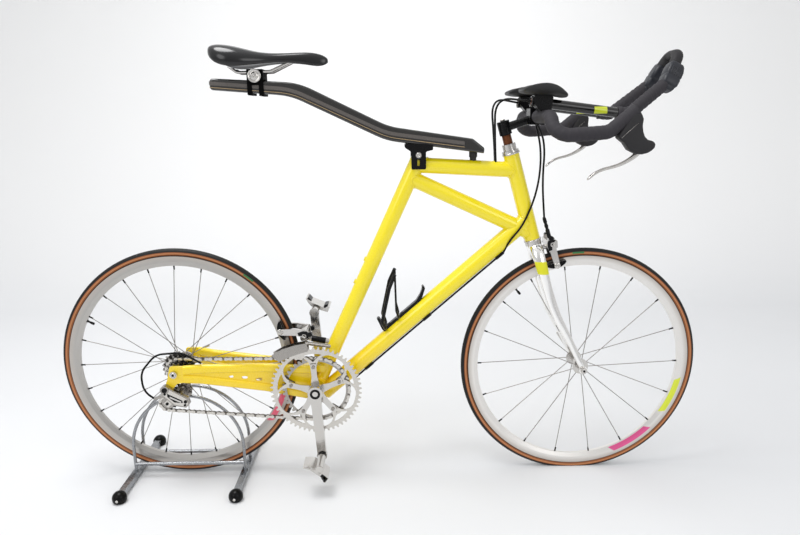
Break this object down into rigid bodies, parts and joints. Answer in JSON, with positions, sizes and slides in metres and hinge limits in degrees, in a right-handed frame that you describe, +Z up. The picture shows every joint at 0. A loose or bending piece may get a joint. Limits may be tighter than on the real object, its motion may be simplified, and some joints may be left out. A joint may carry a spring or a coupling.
{
  "type": "triathlon bicycle",
  "caption": "Triathlon bicycle with a sprung beam saddle, aero bars and deep rims, its rear wheel held in a display stand; steering, wheels, cranks and pedals turn.",
  "frame": {"origin": "Floor level midway between the hubs, on the wheel plane", "axes": "+X forward, +Y to the rider's left, +Z up"},
  "size_m": [1.6479, 0.412, 1.1068],
  "materials": {
    "bar_tape": "wrapped tape",
    "black_metal": "satin black",
    "black_rubber": "matt",
    "cable_housing": "satin",
    "carbon_laminate": "clear-coated carbon laminate",
    "fork_chrome": "bright plated",
    "frame_paint": "gloss yellow paint",
    "frame_stop": "gloss",
    "pad_foam": "covered foam",
    "saddle_leather": "smooth black",
    "silver_metal": "polished",
    "spoke_steel": "brushed",
    "tyre_rubber": "matt"
  },
  "bodies": {
    "frame": {"beam": "carbon_laminate", "beam_bolt": "silver_metal", "beam_bracket": "black_metal", "beam_stop": "frame_stop", "bottle_cage": "black_metal", "bottom_bracket_shell": "frame_paint", "cassette": "black_metal", "chain": "spoke_steel", "diagonal_tube": "frame_paint", "down_tube": "frame_paint", "dropouts": "frame_paint", "frame_cables": "cable_housing", "front_derailleur": "silver_metal", "head_tube": "frame_paint", "headset_cups": "silver_metal", "rear_axle": "silver_metal", "rear_brake": "silver_metal", "rear_derailleur": "silver_metal", "saddle": "saddle_leather", "saddle_clamp": "black_metal", "saddle_rails": "silver_metal", "seat_tube": "frame_paint", "stand_base": "spoke_steel", "stand_feet": "black_rubber", "stand_hoops": "spoke_steel", "stay_left": "frame_paint", "stay_right": "frame_paint", "stay_yoke": "frame_paint", "top_tube": "frame_paint"},
    "steering": {"aero_bar": "black_metal", "arm_pads": "pad_foam", "base_bar": "bar_tape", "brake_cable_front": "cable_housing", "fork": "fork_chrome", "front_axle": "silver_metal", "front_brake": "silver_metal", "headset_nut": "silver_metal", "hoods": "black_rubber", "levers": "silver_metal", "pad_mounts": "black_metal", "shifter_pods": "black_rubber", "steer_cables": "cable_housing", "stem": "black_metal"},
    "front_wheel": {"front_hub": "silver_metal", "front_rim": "silver_metal", "front_spokes": "spoke_steel", "front_tyre": "tyre_rubber"},
    "rear_wheel": {"rear_hub": "silver_metal", "rear_rim": "silver_metal", "rear_spokes": "spoke_steel", "rear_tyre": "tyre_rubber"},
    "crankset": {"chainring_inner": "silver_metal", "chainring_outer": "silver_metal", "crank_axle": "silver_metal", "crank_left": "silver_metal", "crank_right": "silver_metal"},
    "pedal_right": {"pedal_right": "silver_metal"},
    "pedal_left": {"pedal_left": "silver_metal"}
  },
  "joints": [
    {"name": "steer", "type": "hinge", "parent": "frame", "child": "steering", "pos_m": [0.3578, 0, 0.73521], "axis": [-0.2756, 0, 0.9613], "range_deg": [-45, 45], "deforming": ["steer_cables"]},
    {"name": "front_wheel_spin", "type": "hinge", "parent": "steering", "child": "front_wheel", "pos_m": [0.517, 0, 0.307], "axis": [0, 1, 0], "continuous": true},
    {"name": "rear_wheel_spin", "type": "hinge", "parent": "frame", "child": "rear_wheel", "pos_m": [-0.517, 0, 0.317], "axis": [0, 1, 0], "continuous": true},
    {"name": "crank_spin", "type": "hinge", "parent": "frame", "child": "crankset", "pos_m": [-0.166, 0, 0.2585], "axis": [0, 1, 0], "continuous": true},
    {"name": "pedal_right_spin", "type": "hinge", "parent": "crankset", "child": "pedal_right", "pos_m": [-0.15457, 0, 0.08638], "axis": [0, 1, 0], "continuous": true},
    {"name": "pedal_left_spin", "type": "hinge", "parent": "crankset", "child": "pedal_left", "pos_m": [-0.17743, 0, 0.43062], "axis": [0, 1, 0], "continuous": true}
  ]
}
